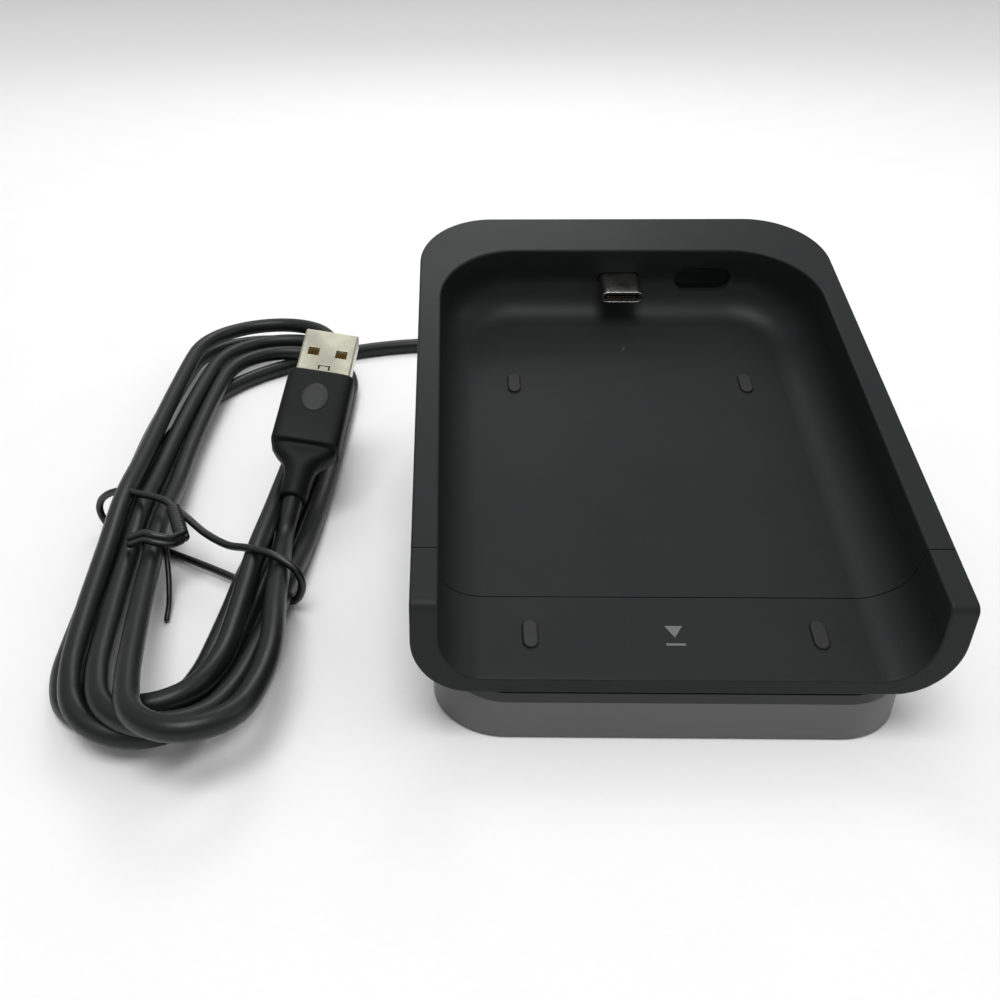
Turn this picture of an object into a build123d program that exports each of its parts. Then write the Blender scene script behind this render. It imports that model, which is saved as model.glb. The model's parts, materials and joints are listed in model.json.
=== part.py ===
from build123d import *
import os
from math import cos, pi, radians, sin, tan

os.makedirs("parts", exist_ok=True)

# A charging dock for a hand-held card terminal: a sloping open-fronted tray on a wedge-shaped base,
# with a pull-out front section, a USB-C plug in the back wall and a captive USB-A lead.
# Origin: centre of the dock's footprint on the table. +X to the user's right, +Y to the back, +Z up.

# ---------------------------------------------------------------- driving dimensions (mm, degrees)
dock_depth = 96.0             # front face to the rearmost point of the tray
front_height = 25.6           # rim above the table at the front face
tilt = 19.0                   # slope of the rim
tray_width = 81.8
tray_depth = 15.35            # rim to the tray's underside, square to the rim
floor_thickness = 2.65
side_wall = 4.2
rear_wall = 11.5
outer_corner_radius = 14.7    # rear corners of the rim
inner_corner_radius = 15.3
bottom_edge_radius = 9.0
cove_radius = 7.0
rim_softening = 0.4
arm_tip_radius = 1.8

front_section_length = 10.9   # along the rim, from the front face to the seam
seam_gap = 0.15
slide_travel = 9.0
slide_gap = 0.25              # between the front section and the skirt under it
guide_rod_diameter = 2.0
guide_rod_depth = 6.0         # below the rim
guide_rod_in_housing = 18.0
guide_rod_in_slide = 9.0
guide_rod_chamfer = 0.2
guide_bore_end = 1.0          # of the bore past the rod's end, when shut
running_clearance = 0.05      # radial

runner_width = 32.0
runner_front = 93.5           # from the rim's rear edge, down the slope
runner_step = 88.4
runner_rear = 62.0
runner_drop = 0.25            # under the housing's floor
runner_thickness = 1.4
runner_clearance = 0.3
runner_screw_diameter = 1.6
runner_screw_head = 2.8
runner_screw_head_height = 0.9
runner_screw_grip = 1.6
runner_screw_x = 12.0
runner_screw_along = 91.0
stop_along = 82.0
stop_diameter = 3.0
stop_slot = 3.2
stop_head = 5.0
stop_head_height = 1.2
stop_grip = 1.5

base_width = 75.0
base_corner_radius = 11.5
base_front_inset = 0.3
base_rear_inset = 2.0
base_wall = 2.2
base_bottom = 0.5             # the grey shell's lower edge above the table
skirt_thickness = 2.0
skirt_edge = 0.5              # the skirt's upper edge below the tray's lower rounding

cover_bottom = 0.8
cover_thickness = 2.0
cover_clearance = 0.1
foot_diameter = 10.0
foot_thickness = 2.0
foot_clearance = 0.1
foot_chamfer = 0.4
foot_x = 27.0
foot_front_y = -37.0
foot_rear_y = 34.0

boss_diameter = 6.5
boss_x = 29.0
boss_front_y = -23.0
boss_rear_y = 26.0
case_screw_diameter = 2.4
case_screw_head = 4.6
case_screw_length = 8.0
thread_clearance = 0.05       # radial

ballast_width = 48.0
ballast_length = 62.0
ballast_thickness = 3.0
ballast_y = 4.0
ballast_corner = 3.0

board_width = 44.0
board_length = 30.0
board_thickness = 1.6
board_y = 20.0
board_height = 7.0
board_corner = 1.5
board_post_diameter = 5.0
board_screw_diameter = 1.6
board_hole_inset = 3.5
board_screw_grip = 3.0
board_screw_head = 3.0
board_screw_head_height = 1.1
opening_width = 48.0
opening_front_y = 4.0
opening_rear_y = 34.0
cable_way = 1.0               # beside the carrier

plug_c_width = 8.34
plug_c_height = 2.56
plug_c_wall = 0.25
plug_c_reach = 6.6            # out of the tray's back wall
plug_c_depth = 6.7            # centre below the rim
plug_c_socket = 5.2           # depth of the mating cavity
plug_c_gap = 0.15
plug_c_core_set = 0.3         # core's face behind the shell's mouth
plug_c_lip = 0.1              # rounding of the shell's mouth
plug_c_slot = (6.7, 1.0)
plug_c_slot_corner = 0.2
contact_c_pitch = 0.75
contact_c_rows = 0.85
contact_c_size = (0.3, 0.15)
contact_c_set = 0.8           # behind the shell's mouth
contact_c_end = 0.5           # short of the socket's end
carrier_width = 18.0
carrier_front = 9.8           # carrier's faces behind the rear edge of the rim
carrier_back = 5.4
carrier_top = 3.5
carrier_bottom = 14.0
carrier_grip = 1.2            # of the plug's tail in the carrier
carrier_clearance = 0.1

window_width = 11.4
window_height = 5.2
window_x = 17.3
window_depth = 6.85
window_recess = 1.2
window_thickness = 0.8

pad_width = 2.5
pad_length = 5.2
pad_height = 0.45             # proud of the floor
pad_edge = 0.35
pad_pocket = 0.8
pad_x = 22.4
pad_rear = 37.3               # from the rear edge of the rim
pad_front = 95.1

mark_recess = 0.25
bolt_along = 26.1
arrow_along = 94.3
bar_along = 96.85
arrow_half_width = 1.4
arrow_base = 0.85
arrow_tip = 1.3
bar_size = (3.0, 0.4)

lamp_peg_x = 4.5
lamp_peg_diameter = 2.0
lamp_board_drop = 3.0
lamp_board_width = 13.0
lamp_board_length = 7.0
lamp_board_thickness = 0.8
pipe_foot = 1.2               # the pipe's stem below the floor
lamp_size = (1.6, 3.2)
lamp_gap = 0.4                # from the lamp to the pipe's stem

cord_diameter = 4.0
gland_height = 11.0
gland_flange_diameter = 9.0
gland_flange_inside = 1.5
gland_flange_outside = 1.2
gland_neck_diameter = 6.6
relief_length = 14.0
relief_tip_diameter = 5.2

header_width = 7.0
header_length = 6.5
header_height = 5.0
chip_thickness = 1.0
ribbon_width = 4.0
ribbon_thickness = 0.3
ribbon_gap = 0.35             # from the base's back wall
ribbon_bend = 6.0             # height of its two slanted runs
ribbon_turn = 2.0
ribbon_level = 0.8            # above the board in its socket
socket_border = 1.0
socket_length = 4.0
socket_height = 1.6
socket_x = 7.0
inner_cord_diameter = 3.4

# the coil's turns fill the space between two rounded outlines, wide at the back, narrow in front
coil_back = (-86.5, 98.5)
coil_front = (-82.5, -37.5)
coil_back_radius = 27.0
coil_front_radius = 22.0
window_back = (-84.0, 70.0)
window_front = (-81.0, -36.0)
window_back_radius = 10.0
window_front_radius = 4.4
coil_height = 10.0
coil_edge = 3.0
tie_thickness = 0.8
tie_width = 2.0
tie_middle = (-84.5, -0.4)
tie_turn = -32.0              # of the tie's run against +X, degrees
tie_knot = (-89.0, 0.6)
tie_knot_diameter = 3.2
tie_knot_length = 8.0
tie_knot_turn = -30.0         # of the twisted end against the tie's run

# USB-A plug: middle of its mouth, and how it lies on the coil
plug_a_tip = (-61.5, 48.3, 30.0)
plug_a_yaw = 8.3
plug_a_pitch = 28.5
plug_a_roll = -8.8
plug_a_width = 12.0
plug_a_height = 4.5
plug_a_wall = 0.3
plug_a_bare = 12.0            # metal that shows
plug_a_length = 18.7
plug_a_corner = 0.5
plug_a_inner_corner = 0.25
plug_a_window = (2.5, 2.2)
plug_a_window_x = 3.1
plug_a_window_set = 6.0
plug_a_tab = (2.6, 1.3)       # the U-shaped slot round a spring tab in the upper wall
plug_a_tab_slot = 0.35
plug_a_tab_set = 10.2
tongue_thickness = 1.9
tongue_set = 0.5
tongue_side_gap = 0.25
contact_a_size = (1.0, 0.2)
contact_a_length = 8.0
contact_a_set = 1.0              # behind the tongue's end
contact_a_places = (-3.5, -1.0, 1.0, 3.5)
body_width = 14.6
body_height = 8.0
body_length = 19.0
body_corner = 2.6
body_edge = 0.8
neck_width = 10.6
neck_height = 5.6
neck_diameter = 5.8
neck_taper = 6.5
neck_length = 12.3

# ------------------------------------------------------------------- the frame that these make
slope = radians(tilt)
front_y = -dock_depth / 2
tray_bulge = bottom_edge_radius * (1 - cos(slope)) + (tray_depth - bottom_edge_radius) * sin(slope)
rim_rear_y = dock_depth / 2 - tray_bulge
rim_length = (rim_rear_y - front_y) / cos(slope)
rear_height = front_height + (rim_rear_y - front_y) * tan(slope)
blank_length = rim_length + 30.0
hollow_depth = tray_depth - floor_thickness
seam_along = rim_length - front_section_length
base_front_y = front_y + base_front_inset
base_rear_y = dock_depth / 2 - base_rear_inset
skirt_depth = tray_depth + skirt_thickness
cover_top = cover_bottom + cover_thickness
guide_x = tray_width / 2 - side_wall / 2

# The rim's plane: local x to the right, local y up the slope to the back, depths below it.
rim = Plane(origin=(0, rim_rear_y, rear_height), x_dir=(1, 0, 0), z_dir=(0, -sin(slope), cos(slope)))
rim_normal = Axis(rim.origin, rim.z_dir)
rim_slope = Axis(rim.origin, rim.y_dir)


def level(depth):
    """The plane at a depth below the rim."""
    return rim.offset(-depth)


def rim_point(x, along, depth):
    """A point at x, so far down the slope from the rim's rear edge, at a depth below the rim."""
    return rim.from_local_coords(Vector(x, -along, -depth))


def across(along, depth=0.0):
    """A plane square to the slope: local x to the right, local y downwards, normal to the back."""
    return Plane(origin=rim_point(0, along, depth), x_dir=(1, 0, 0), z_dir=rim.y_dir)


def underside_height(y, depth):
    """Height above the table of the plane at a depth below the rim, over a point at y."""
    return rear_height - (rim_rear_y - y) * tan(slope) - depth / cos(slope)


boss_places = [(x, y) for x in (-boss_x, boss_x) for y in (boss_front_y, boss_rear_y)]
runner_screw_places = [(x, -runner_screw_along) for x in (-runner_screw_x, runner_screw_x)]
seam = across(seam_along)

# bolt, arrow and bar, drawn in the rim's plane
bolt_points = [(0.35, 1.85), (-0.9, -0.25), (-0.1, -0.25), (-0.35, -1.85), (0.9, 0.25), (0.1, 0.25)]
with BuildSketch() as bolt_mark:
    with BuildLine():
        Polyline([(x, y - bolt_along) for x, y in bolt_points], close=True)
    make_face()

with BuildSketch() as direction_marks:
    with BuildLine():
        Polyline([(-arrow_half_width, arrow_base - arrow_along), (0, -arrow_tip - arrow_along),
                  (arrow_half_width, arrow_base - arrow_along)], close=True)
    make_face()
    with Locations((0, -bar_along)):
        Rectangle(*bar_size)

# ------------------------------------------------------------------------- tray blank and hollow
with BuildPart() as tray_outer:
    with BuildSketch(rim) as outer_plan:
        with Locations((0, -blank_length / 2)):
            Rectangle(tray_width, blank_length)
        fillet(outer_plan.vertices().sort_by(Axis.Y)[-2:], outer_corner_radius)
    extrude(amount=-tray_depth)
    low_edges = tray_outer.edges().group_by(rim_normal)[0].sort_by(rim_slope)[1:]
    fillet(low_edges, bottom_edge_radius)

with BuildPart() as tray_hollow:
    with BuildSketch(rim) as hollow_plan:
        with Locations((0, -rear_wall - blank_length / 2)):
            Rectangle(tray_width - 2 * side_wall, blank_length)
        fillet(hollow_plan.vertices().sort_by(Axis.Y)[-2:], inner_corner_radius)
    extrude(amount=-hollow_depth)
    fillet(tray_hollow.edges().group_by(rim_normal)[0].sort_by(rim_slope)[1:], cove_radius)

with BuildPart() as tray_body:
    add(tray_outer.part)
    split(bisect_by=Plane(origin=(0, front_y, 0), z_dir=(0, 1, 0)), keep=Keep.TOP)
    fillet(tray_body.edges().filter_by(Axis.X).group_by(Axis.Y)[0].sort_by(Axis.Z)[-1], arm_tip_radius)
    add(tray_hollow.part, mode=Mode.SUBTRACT)
    # the rim's edges, and the front face's by tangency, but not the lines where the tips begin
    rim_edges = tray_body.edges().group_by(rim_normal)[-1]
    tip_lines = rim_edges.filter_by(Axis.X).sort_by(Axis.Y)[:2]
    fillet([edge for edge in rim_edges if edge not in tip_lines], rim_softening)

# --------------------------------------------------------------------------------- upper housing
with BuildPart() as upper_housing:
    add(tray_body.part)
    split(bisect_by=seam, keep=Keep.TOP)
    # bores for the guide rods, open at the seam and long enough for the rods when shut
    with BuildSketch(seam):
        with Locations((-guide_x, guide_rod_depth), (guide_x, guide_rod_depth)):
            Circle(guide_rod_diameter / 2 + running_clearance)
    extrude(amount=guide_rod_in_housing + guide_bore_end, mode=Mode.SUBTRACT)
    # pocket in the back wall for the connector's carrier, open underneath
    with BuildSketch(level(tray_depth)):
        with Locations((0, -(carrier_front + carrier_back) / 2)):
            Rectangle(carrier_width + 2 * carrier_clearance,
                      carrier_front - carrier_back + 2 * carrier_clearance)
    extrude(amount=tray_depth - carrier_top + carrier_clearance, mode=Mode.SUBTRACT)
    # slot for the plug through the wall in front of the pocket
    with BuildSketch(across(rear_wall + cove_radius, plug_c_depth)):
        SlotOverall(plug_c_width + 2 * plug_c_gap, plug_c_height + 2 * plug_c_gap)
    extrude(amount=cove_radius + rear_wall - carrier_front, mode=Mode.SUBTRACT)
    # shallow seat of the window beside it
    with BuildSketch(across(rear_wall + cove_radius, window_depth)):
        with Locations((window_x, 0)):
            SlotOverall(window_width, window_height)
    extrude(amount=cove_radius + window_recess, mode=Mode.SUBTRACT)
    # pockets for the two rear pads
    with BuildSketch(level(hollow_depth)):
        with Locations((-pad_x, -pad_rear), (pad_x, -pad_rear)):
            SlotOverall(pad_length, pad_width, rotation=90)
    extrude(amount=-pad_pocket, mode=Mode.SUBTRACT)
    # thread of the stop screw, and the light pipe's window
    with BuildSketch(level(tray_depth)):
        with Locations((0, -stop_along)):
            Circle(stop_diameter / 2)
    extrude(amount=stop_grip, mode=Mode.SUBTRACT)
    with BuildSketch(level(hollow_depth)):
        add(bolt_mark.sketch)
    extrude(amount=-floor_thickness, mode=Mode.SUBTRACT)
    # pegs that carry the lamp's board under the floor
    with BuildSketch(level(tray_depth)):
        with Locations([(x, -bolt_along) for x in (-lamp_peg_x, lamp_peg_x)]):
            Circle(lamp_peg_diameter / 2)
    extrude(amount=-lamp_board_drop)
    # bosses that the case screws reach from below
    for boss_y in (boss_front_y, boss_rear_y):
        with BuildSketch(Plane.XY.offset(cover_top)):
            with Locations((-boss_x, boss_y), (boss_x, boss_y)):
                Circle(boss_diameter / 2)
        extrude(amount=underside_height(boss_y, tray_depth) + boss_diameter / 2 * tan(slope) - cover_top)
    with BuildSketch(Plane.XY.offset(cover_top)):
        with Locations(boss_places):
            Circle(case_screw_diameter / 2 + thread_clearance)
    extrude(amount=case_screw_length, mode=Mode.SUBTRACT)
upper_housing.part.label = "upper_housing"
export_step(upper_housing.part, "parts/upper_housing.step")

# ---------------------------------------------------------------- front section and its guides
with BuildPart() as front_slide:
    add(tray_body.part)
    split(bisect_by=across(seam_along + seam_gap), keep=Keep.BOTTOM)
    with BuildSketch(across(seam_along + seam_gap)):
        with Locations((-guide_x, guide_rod_depth), (guide_x, guide_rod_depth)):
            Circle(guide_rod_diameter / 2)
    extrude(amount=-guide_rod_in_slide, mode=Mode.SUBTRACT)
    with BuildSketch(level(hollow_depth)):
        with Locations((-pad_x, -pad_front), (pad_x, -pad_front)):
            SlotOverall(pad_length, pad_width, rotation=90)
    extrude(amount=-pad_pocket, mode=Mode.SUBTRACT)
    with BuildSketch(level(hollow_depth)):
        add(direction_marks.sketch)
    extrude(amount=-mark_recess, mode=Mode.SUBTRACT)
    with BuildSketch(level(tray_depth)):
        with Locations(runner_screw_places):
            Circle(runner_screw_diameter / 2 + thread_clearance)
    extrude(amount=runner_screw_grip, mode=Mode.SUBTRACT)
front_slide.part.label = "front_slide"
export_step(front_slide.part, "parts/front_slide.step")

with BuildPart() as guide_rods:
    with BuildSketch(across(seam_along + seam_gap + guide_rod_in_slide)):
        with Locations((-guide_x, guide_rod_depth), (guide_x, guide_rod_depth)):
            Circle(guide_rod_diameter / 2)
    extrude(amount=guide_rod_in_slide + guide_rod_in_housing)
    chamfer(guide_rods.edges().group_by(rim_slope)[-1], guide_rod_chamfer)
guide_rods.part.label = "guide_rods"
export_step(guide_rods.part, "parts/guide_rods.step")

# The runner is screwed under the front section and slides in a slot of the skirt; its own slot
# runs past the stop screw, which ends the travel both ways.
with BuildPart() as slide_runner:
    with BuildSketch(level(tray_depth)):
        with Locations((0, -(runner_front + runner_step) / 2)):
            Rectangle(runner_width, runner_front - runner_step)
    extrude(amount=-runner_drop - runner_thickness)
    with BuildSketch(level(tray_depth + runner_drop)):
        with Locations((0, -(runner_step + runner_rear) / 2)):
            Rectangle(runner_width, runner_step - runner_rear)
    extrude(amount=-runner_thickness)
    with BuildSketch(level(tray_depth)):
        with Locations((0, -stop_along + slide_travel / 2)):
            SlotOverall(slide_travel + stop_slot, stop_slot, rotation=90)
        with Locations(runner_screw_places):
            Circle(runner_screw_diameter / 2 + thread_clearance)
    extrude(amount=-runner_drop - runner_thickness, mode=Mode.SUBTRACT)
slide_runner.part.label = "slide_runner"
export_step(slide_runner.part, "parts/slide_runner.step")

with BuildPart() as runner_screws:
    with BuildSketch(level(tray_depth + runner_drop + runner_thickness)):
        with Locations(runner_screw_places):
            Circle(runner_screw_diameter / 2)
    extrude(amount=runner_drop + runner_thickness + runner_screw_grip)
    with BuildSketch(level(tray_depth + runner_drop + runner_thickness)):
        with Locations(runner_screw_places):
            Circle(runner_screw_head / 2)
    extrude(amount=-runner_screw_head_height)
runner_screws.part.label = "runner_screws"
export_step(runner_screws.part, "parts/runner_screws.step")

with BuildPart() as stop_screw:
    with BuildSketch(level(skirt_depth)):
        with Locations((0, -stop_along)):
            Circle(stop_head / 2)
    extrude(amount=-stop_head_height)
    with BuildSketch(level(skirt_depth)):
        with Locations((0, -stop_along)):
            Circle(stop_diameter / 2)
    extrude(amount=skirt_thickness + stop_grip)
stop_screw.part.label = "stop_screw"
export_step(stop_screw.part, "parts/stop_screw.step")

# ------------------------------------------------------------------------- pads, marks and light
def floor_pads(along):
    """A pair of rubber pads set in the tray's floor, so far down the slope."""
    with BuildPart() as pads:
        with BuildSketch(level(hollow_depth + pad_pocket)):
            with Locations((-pad_x, -along), (pad_x, -along)):
                SlotOverall(pad_length, pad_width, rotation=90)
        extrude(amount=pad_pocket + pad_height)
        fillet(pads.edges().group_by(rim_normal)[-1], pad_edge)
    return pads.part


floor_pads_rear = floor_pads(pad_rear)
floor_pads_rear.label = "floor_pads_rear"
export_step(floor_pads_rear, "parts/floor_pads_rear.step")

floor_pads_front = floor_pads(pad_front)
floor_pads_front.label = "floor_pads_front"
export_step(floor_pads_front, "parts/floor_pads_front.step")

with BuildPart() as direction_mark:
    with BuildSketch(level(hollow_depth + mark_recess)):
        add(direction_marks.sketch)
    extrude(amount=mark_recess)
direction_mark.part.label = "direction_mark"
export_step(direction_mark.part, "parts/direction_mark.step")

with BuildPart() as light_pipe:
    with BuildSketch(level(hollow_depth)):
        add(bolt_mark.sketch)
    extrude(amount=-floor_thickness - pipe_foot)
light_pipe.part.label = "light_pipe"
export_step(light_pipe.part, "parts/light_pipe.step")

with BuildPart() as lamp_board:
    with BuildSketch(level(tray_depth + lamp_board_drop)):
        with Locations((0, -bolt_along)):
            Rectangle(lamp_board_width, lamp_board_length)
    extrude(amount=-lamp_board_thickness)
lamp_board.part.label = "lamp_board"
export_step(lamp_board.part, "parts/lamp_board.step")

with BuildPart() as status_lamp:
    with BuildSketch(level(tray_depth + lamp_board_drop)):
        with Locations((0, -bolt_along)):
            Rectangle(*lamp_size)
    extrude(amount=lamp_board_drop - pipe_foot - lamp_gap)
status_lamp.part.label = "status_lamp"
export_step(status_lamp.part, "parts/status_lamp.step")

# ------------------------------------------------------------------- plug in the tray's back wall
plug_tip = across(rear_wall + plug_c_reach, plug_c_depth)
plug_c_length = rear_wall + plug_c_reach - carrier_front + carrier_grip

with BuildPart() as usb_c_shell:
    with BuildSketch(plug_tip):
        SlotOverall(plug_c_width, plug_c_height)
        SlotOverall(plug_c_width - 2 * plug_c_wall, plug_c_height - 2 * plug_c_wall, mode=Mode.SUBTRACT)
    extrude(amount=plug_c_length)
    fillet(usb_c_shell.edges().group_by(rim_slope)[0].sort_by(SortBy.LENGTH)[-4:], plug_c_lip)
usb_c_shell.part.label = "usb_c_shell"
export_step(usb_c_shell.part, "parts/usb_c_shell.step")

with BuildPart() as usb_c_core:
    with BuildSketch(plug_tip.offset(plug_c_core_set)):
        SlotOverall(plug_c_width - 2 * plug_c_wall, plug_c_height - 2 * plug_c_wall)
    extrude(amount=plug_c_length - plug_c_core_set)
    with BuildSketch(plug_tip.offset(plug_c_core_set)):
        RectangleRounded(*plug_c_slot, plug_c_slot_corner)
    extrude(amount=plug_c_socket, mode=Mode.SUBTRACT)
usb_c_core.part.label = "usb_c_core"
export_step(usb_c_core.part, "parts/usb_c_core.step")

with BuildPart() as usb_c_contacts:
    with BuildSketch(plug_tip.offset(contact_c_set)):
        with GridLocations(contact_c_pitch, contact_c_rows, 8, 2):
            Rectangle(*contact_c_size)
    extrude(amount=plug_c_socket - contact_c_end)
usb_c_contacts.part.label = "usb_c_contacts"
export_step(usb_c_contacts.part, "parts/usb_c_contacts.step")

with BuildPart() as usb_c_carrier:
    with BuildSketch(level(carrier_bottom)):
        with Locations((0, -(carrier_front + carrier_back) / 2)):
            Rectangle(carrier_width, carrier_front - carrier_back)
    extrude(amount=carrier_bottom - carrier_top)
    with BuildSketch(across(carrier_front, plug_c_depth)):
        SlotOverall(plug_c_width, plug_c_height)
    extrude(amount=carrier_grip, mode=Mode.SUBTRACT)
usb_c_carrier.part.label = "usb_c_carrier"
export_step(usb_c_carrier.part, "parts/usb_c_carrier.step")

with BuildPart() as back_window:
    with BuildSketch(across(rear_wall - window_recess, window_depth)):
        with Locations((window_x, 0)):
            SlotOverall(window_width, window_height)
    extrude(amount=-window_thickness)
back_window.part.label = "back_window"
export_step(back_window.part, "parts/back_window.step")

# ---------------------------------------------------------------------------- skirt and base
base_length = base_rear_y - base_front_y
base_middle_y = (base_rear_y + base_front_y) / 2
with BuildSketch() as base_plan:
    with Locations((0, base_middle_y)):
        RectangleRounded(base_width, base_length, base_corner_radius)

with BuildSketch() as base_inner_plan:
    with Locations((0, base_middle_y)):
        RectangleRounded(base_width - 2 * base_wall, base_length - 2 * base_wall,
                         base_corner_radius - base_wall)

# everything under the front section's path, grown by the gap
with BuildPart() as slide_clearance:
    with BuildSketch(across(seam_along)) as clearance_section:
        with Locations((0, (tray_depth + slide_gap) / 2)):
            Rectangle(tray_width + 2 * slide_gap, tray_depth + slide_gap)
        fillet(clearance_section.vertices().sort_by(Axis.Y)[-2:], bottom_edge_radius + slide_gap)
    extrude(amount=-blank_length)

with BuildPart() as skirt:
    with BuildSketch(Plane.XY):
        add(base_plan.sketch)
    extrude(amount=rear_height)
    split(bisect_by=level(skirt_depth), keep=Keep.TOP)
    split(bisect_by=level(tray_depth - bottom_edge_radius + skirt_edge), keep=Keep.BOTTOM)
    add(tray_outer.part, mode=Mode.SUBTRACT)
    add(slide_clearance.part, mode=Mode.SUBTRACT)
    # slot of the runner
    with BuildSketch(level(tray_depth)):
        slot_front = runner_front + slide_travel + runner_clearance
        slot_rear = runner_rear - runner_clearance
        with Locations((0, -(slot_front + slot_rear) / 2)):
            Rectangle(runner_width + 2 * runner_clearance, slot_front - slot_rear)
    extrude(amount=-skirt_thickness, mode=Mode.SUBTRACT)
    # way through for the cables and the lamp's board
    with BuildSketch(Plane.XY):
        with Locations((0, (opening_front_y + opening_rear_y) / 2)):
            Rectangle(opening_width, opening_rear_y - opening_front_y)
        with Locations((0, (opening_rear_y + base_rear_y - base_wall) / 2)):
            Rectangle(carrier_width + 2 * cable_way, base_rear_y - base_wall - opening_rear_y)
        with Locations(boss_places):
            Circle(boss_diameter / 2 + cover_clearance)
    extrude(amount=rear_height, mode=Mode.SUBTRACT)
skirt.part.label = "skirt"
export_step(skirt.part, "parts/skirt.step")

with BuildPart() as base_shell:
    with BuildSketch(Plane.XY.offset(base_bottom)):
        add(base_plan.sketch)
        add(base_inner_plan.sketch, mode=Mode.SUBTRACT)
    extrude(amount=rear_height)
    split(bisect_by=level(skirt_depth), keep=Keep.BOTTOM)
    with BuildSketch(Plane.XZ.offset(-base_rear_y)):
        with Locations((0, gland_height)):
            Circle(gland_neck_diameter / 2)
    extrude(amount=base_wall, mode=Mode.SUBTRACT)
base_shell.part.label = "base_shell"
export_step(base_shell.part, "parts/base_shell.step")

foot_places = [(x, y) for x in (-foot_x, foot_x) for y in (foot_front_y, foot_rear_y)]
post_x = board_width / 2 - board_hole_inset
post_y = board_length / 2 - board_hole_inset
board_posts = [(x, board_y + y) for x in (-post_x, post_x) for y in (-post_y, post_y)]

with BuildPart() as bottom_cover:
    with BuildSketch(Plane.XY.offset(cover_bottom)):
        add(base_inner_plan.sketch)
        offset(amount=-cover_clearance)
    extrude(amount=cover_thickness)
    with BuildSketch(Plane.XY.offset(cover_bottom)):
        with Locations(foot_places):
            Circle(foot_diameter / 2 + foot_clearance)
    extrude(amount=foot_thickness - cover_bottom, mode=Mode.SUBTRACT)
    with BuildSketch(Plane.XY.offset(cover_top)):
        with Locations(board_posts):
            Circle(board_post_diameter / 2)
    extrude(amount=board_height - cover_top)
    with BuildSketch(Plane.XY.offset(board_height)):
        with Locations(board_posts):
            Circle(board_screw_diameter / 2 + thread_clearance)
    extrude(amount=-board_screw_grip, mode=Mode.SUBTRACT)
    with Locations(Plane(origin=(0, 0, cover_bottom), x_dir=(1, 0, 0), z_dir=(0, 0, -1))):
        with Locations([(x, -y) for x, y in boss_places]):
            CounterSinkHole(radius=case_screw_diameter / 2 + thread_clearance,
                            counter_sink_radius=case_screw_head / 2 + thread_clearance,
                            depth=cover_thickness)
bottom_cover.part.label = "bottom_cover"
export_step(bottom_cover.part, "parts/bottom_cover.step")

with BuildPart() as rubber_feet:
    with BuildSketch(Plane.XY):
        with Locations(foot_places):
            Circle(foot_diameter / 2)
    extrude(amount=foot_thickness)
    chamfer(rubber_feet.edges().group_by(Axis.Z)[0], foot_chamfer)
rubber_feet.part.label = "rubber_feet"
export_step(rubber_feet.part, "parts/rubber_feet.step")

with BuildPart() as case_screws:
    with BuildSketch(Plane.XY.offset(cover_bottom)):
        with Locations(boss_places):
            Circle(case_screw_diameter / 2)
    extrude(amount=case_screw_length)
    with BuildSketch(Plane.XY.offset(cover_bottom)):
        with Locations(boss_places):
            Circle(case_screw_head / 2)
    extrude(amount=(case_screw_head - case_screw_diameter) / 2, taper=45)
case_screws.part.label = "case_screws"
export_step(case_screws.part, "parts/case_screws.step")

with BuildPart() as ballast_plate:
    with BuildSketch(Plane.XY.offset(cover_top)) as ballast_plan:
        with Locations((0, ballast_y)):
            Rectangle(ballast_width, ballast_length)
        chamfer(ballast_plan.vertices(), ballast_corner)
        with Locations(board_posts):
            Circle(board_post_diameter / 2 + foot_clearance, mode=Mode.SUBTRACT)
    extrude(amount=ballast_thickness)
ballast_plate.part.label = "ballast_plate"
export_step(ballast_plate.part, "parts/ballast_plate.step")

# ---------------------------------------------------------------------------------- electronics
board_top = board_height + board_thickness
board_rear_y = board_y + board_length / 2
board_front_y = board_y - board_length / 2

with BuildPart() as main_board:
    with BuildSketch(Plane.XY.offset(board_height)) as board_plan:
        with Locations((0, board_y)):
            Rectangle(board_width, board_length)
        fillet(board_plan.vertices(), board_corner)
        with Locations(board_posts):
            Circle(board_screw_diameter / 2 + thread_clearance, mode=Mode.SUBTRACT)
    extrude(amount=board_thickness)
main_board.part.label = "main_board"
export_step(main_board.part, "parts/main_board.step")

with BuildPart() as board_screws:
    with BuildSketch(Plane.XY.offset(board_top)):
        with Locations(board_posts):
            Circle(board_screw_head / 2)
    extrude(amount=board_screw_head_height)
    with BuildSketch(Plane.XY.offset(board_top)):
        with Locations(board_posts):
            Circle(board_screw_diameter / 2)
    extrude(amount=-board_thickness - board_screw_grip + thread_clearance)
board_screws.part.label = "board_screws"
export_step(board_screws.part, "parts/board_screws.step")

# charge controller, regulator, inductor and capacitors, soldered to the board
chip_sizes = [(5.0, 5.0, 1.0, -6.0, 2.0), (3.0, 3.0, 1.0, 4.0, 4.0), (6.0, 6.0, 3.0, 12.0, -3.0),
              (3.2, 2.5, 1.4, -13.0, -4.0), (3.2, 2.5, 1.4, -13.0, 1.0), (2.0, 1.2, 0.8, 3.0, -4.0)]
with BuildPart() as board_chips:
    for chip_x, chip_y, chip_z, place_x, place_y in chip_sizes:
        with BuildSketch(Plane.XY.offset(board_top)):
            with Locations((place_x, board_y + place_y)):
                Rectangle(chip_x, chip_y)
        extrude(amount=chip_z)
board_chips.part.label = "board_chips"
export_step(board_chips.part, "parts/board_chips.step")

with BuildPart() as cord_header:
    with BuildSketch(Plane.XY.offset(board_top)):
        with Locations((0, board_rear_y - header_length / 2)):
            Rectangle(header_width, header_length)
    extrude(amount=header_height)
cord_header.part.label = "cord_header"
export_step(cord_header.part, "parts/cord_header.step")

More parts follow.
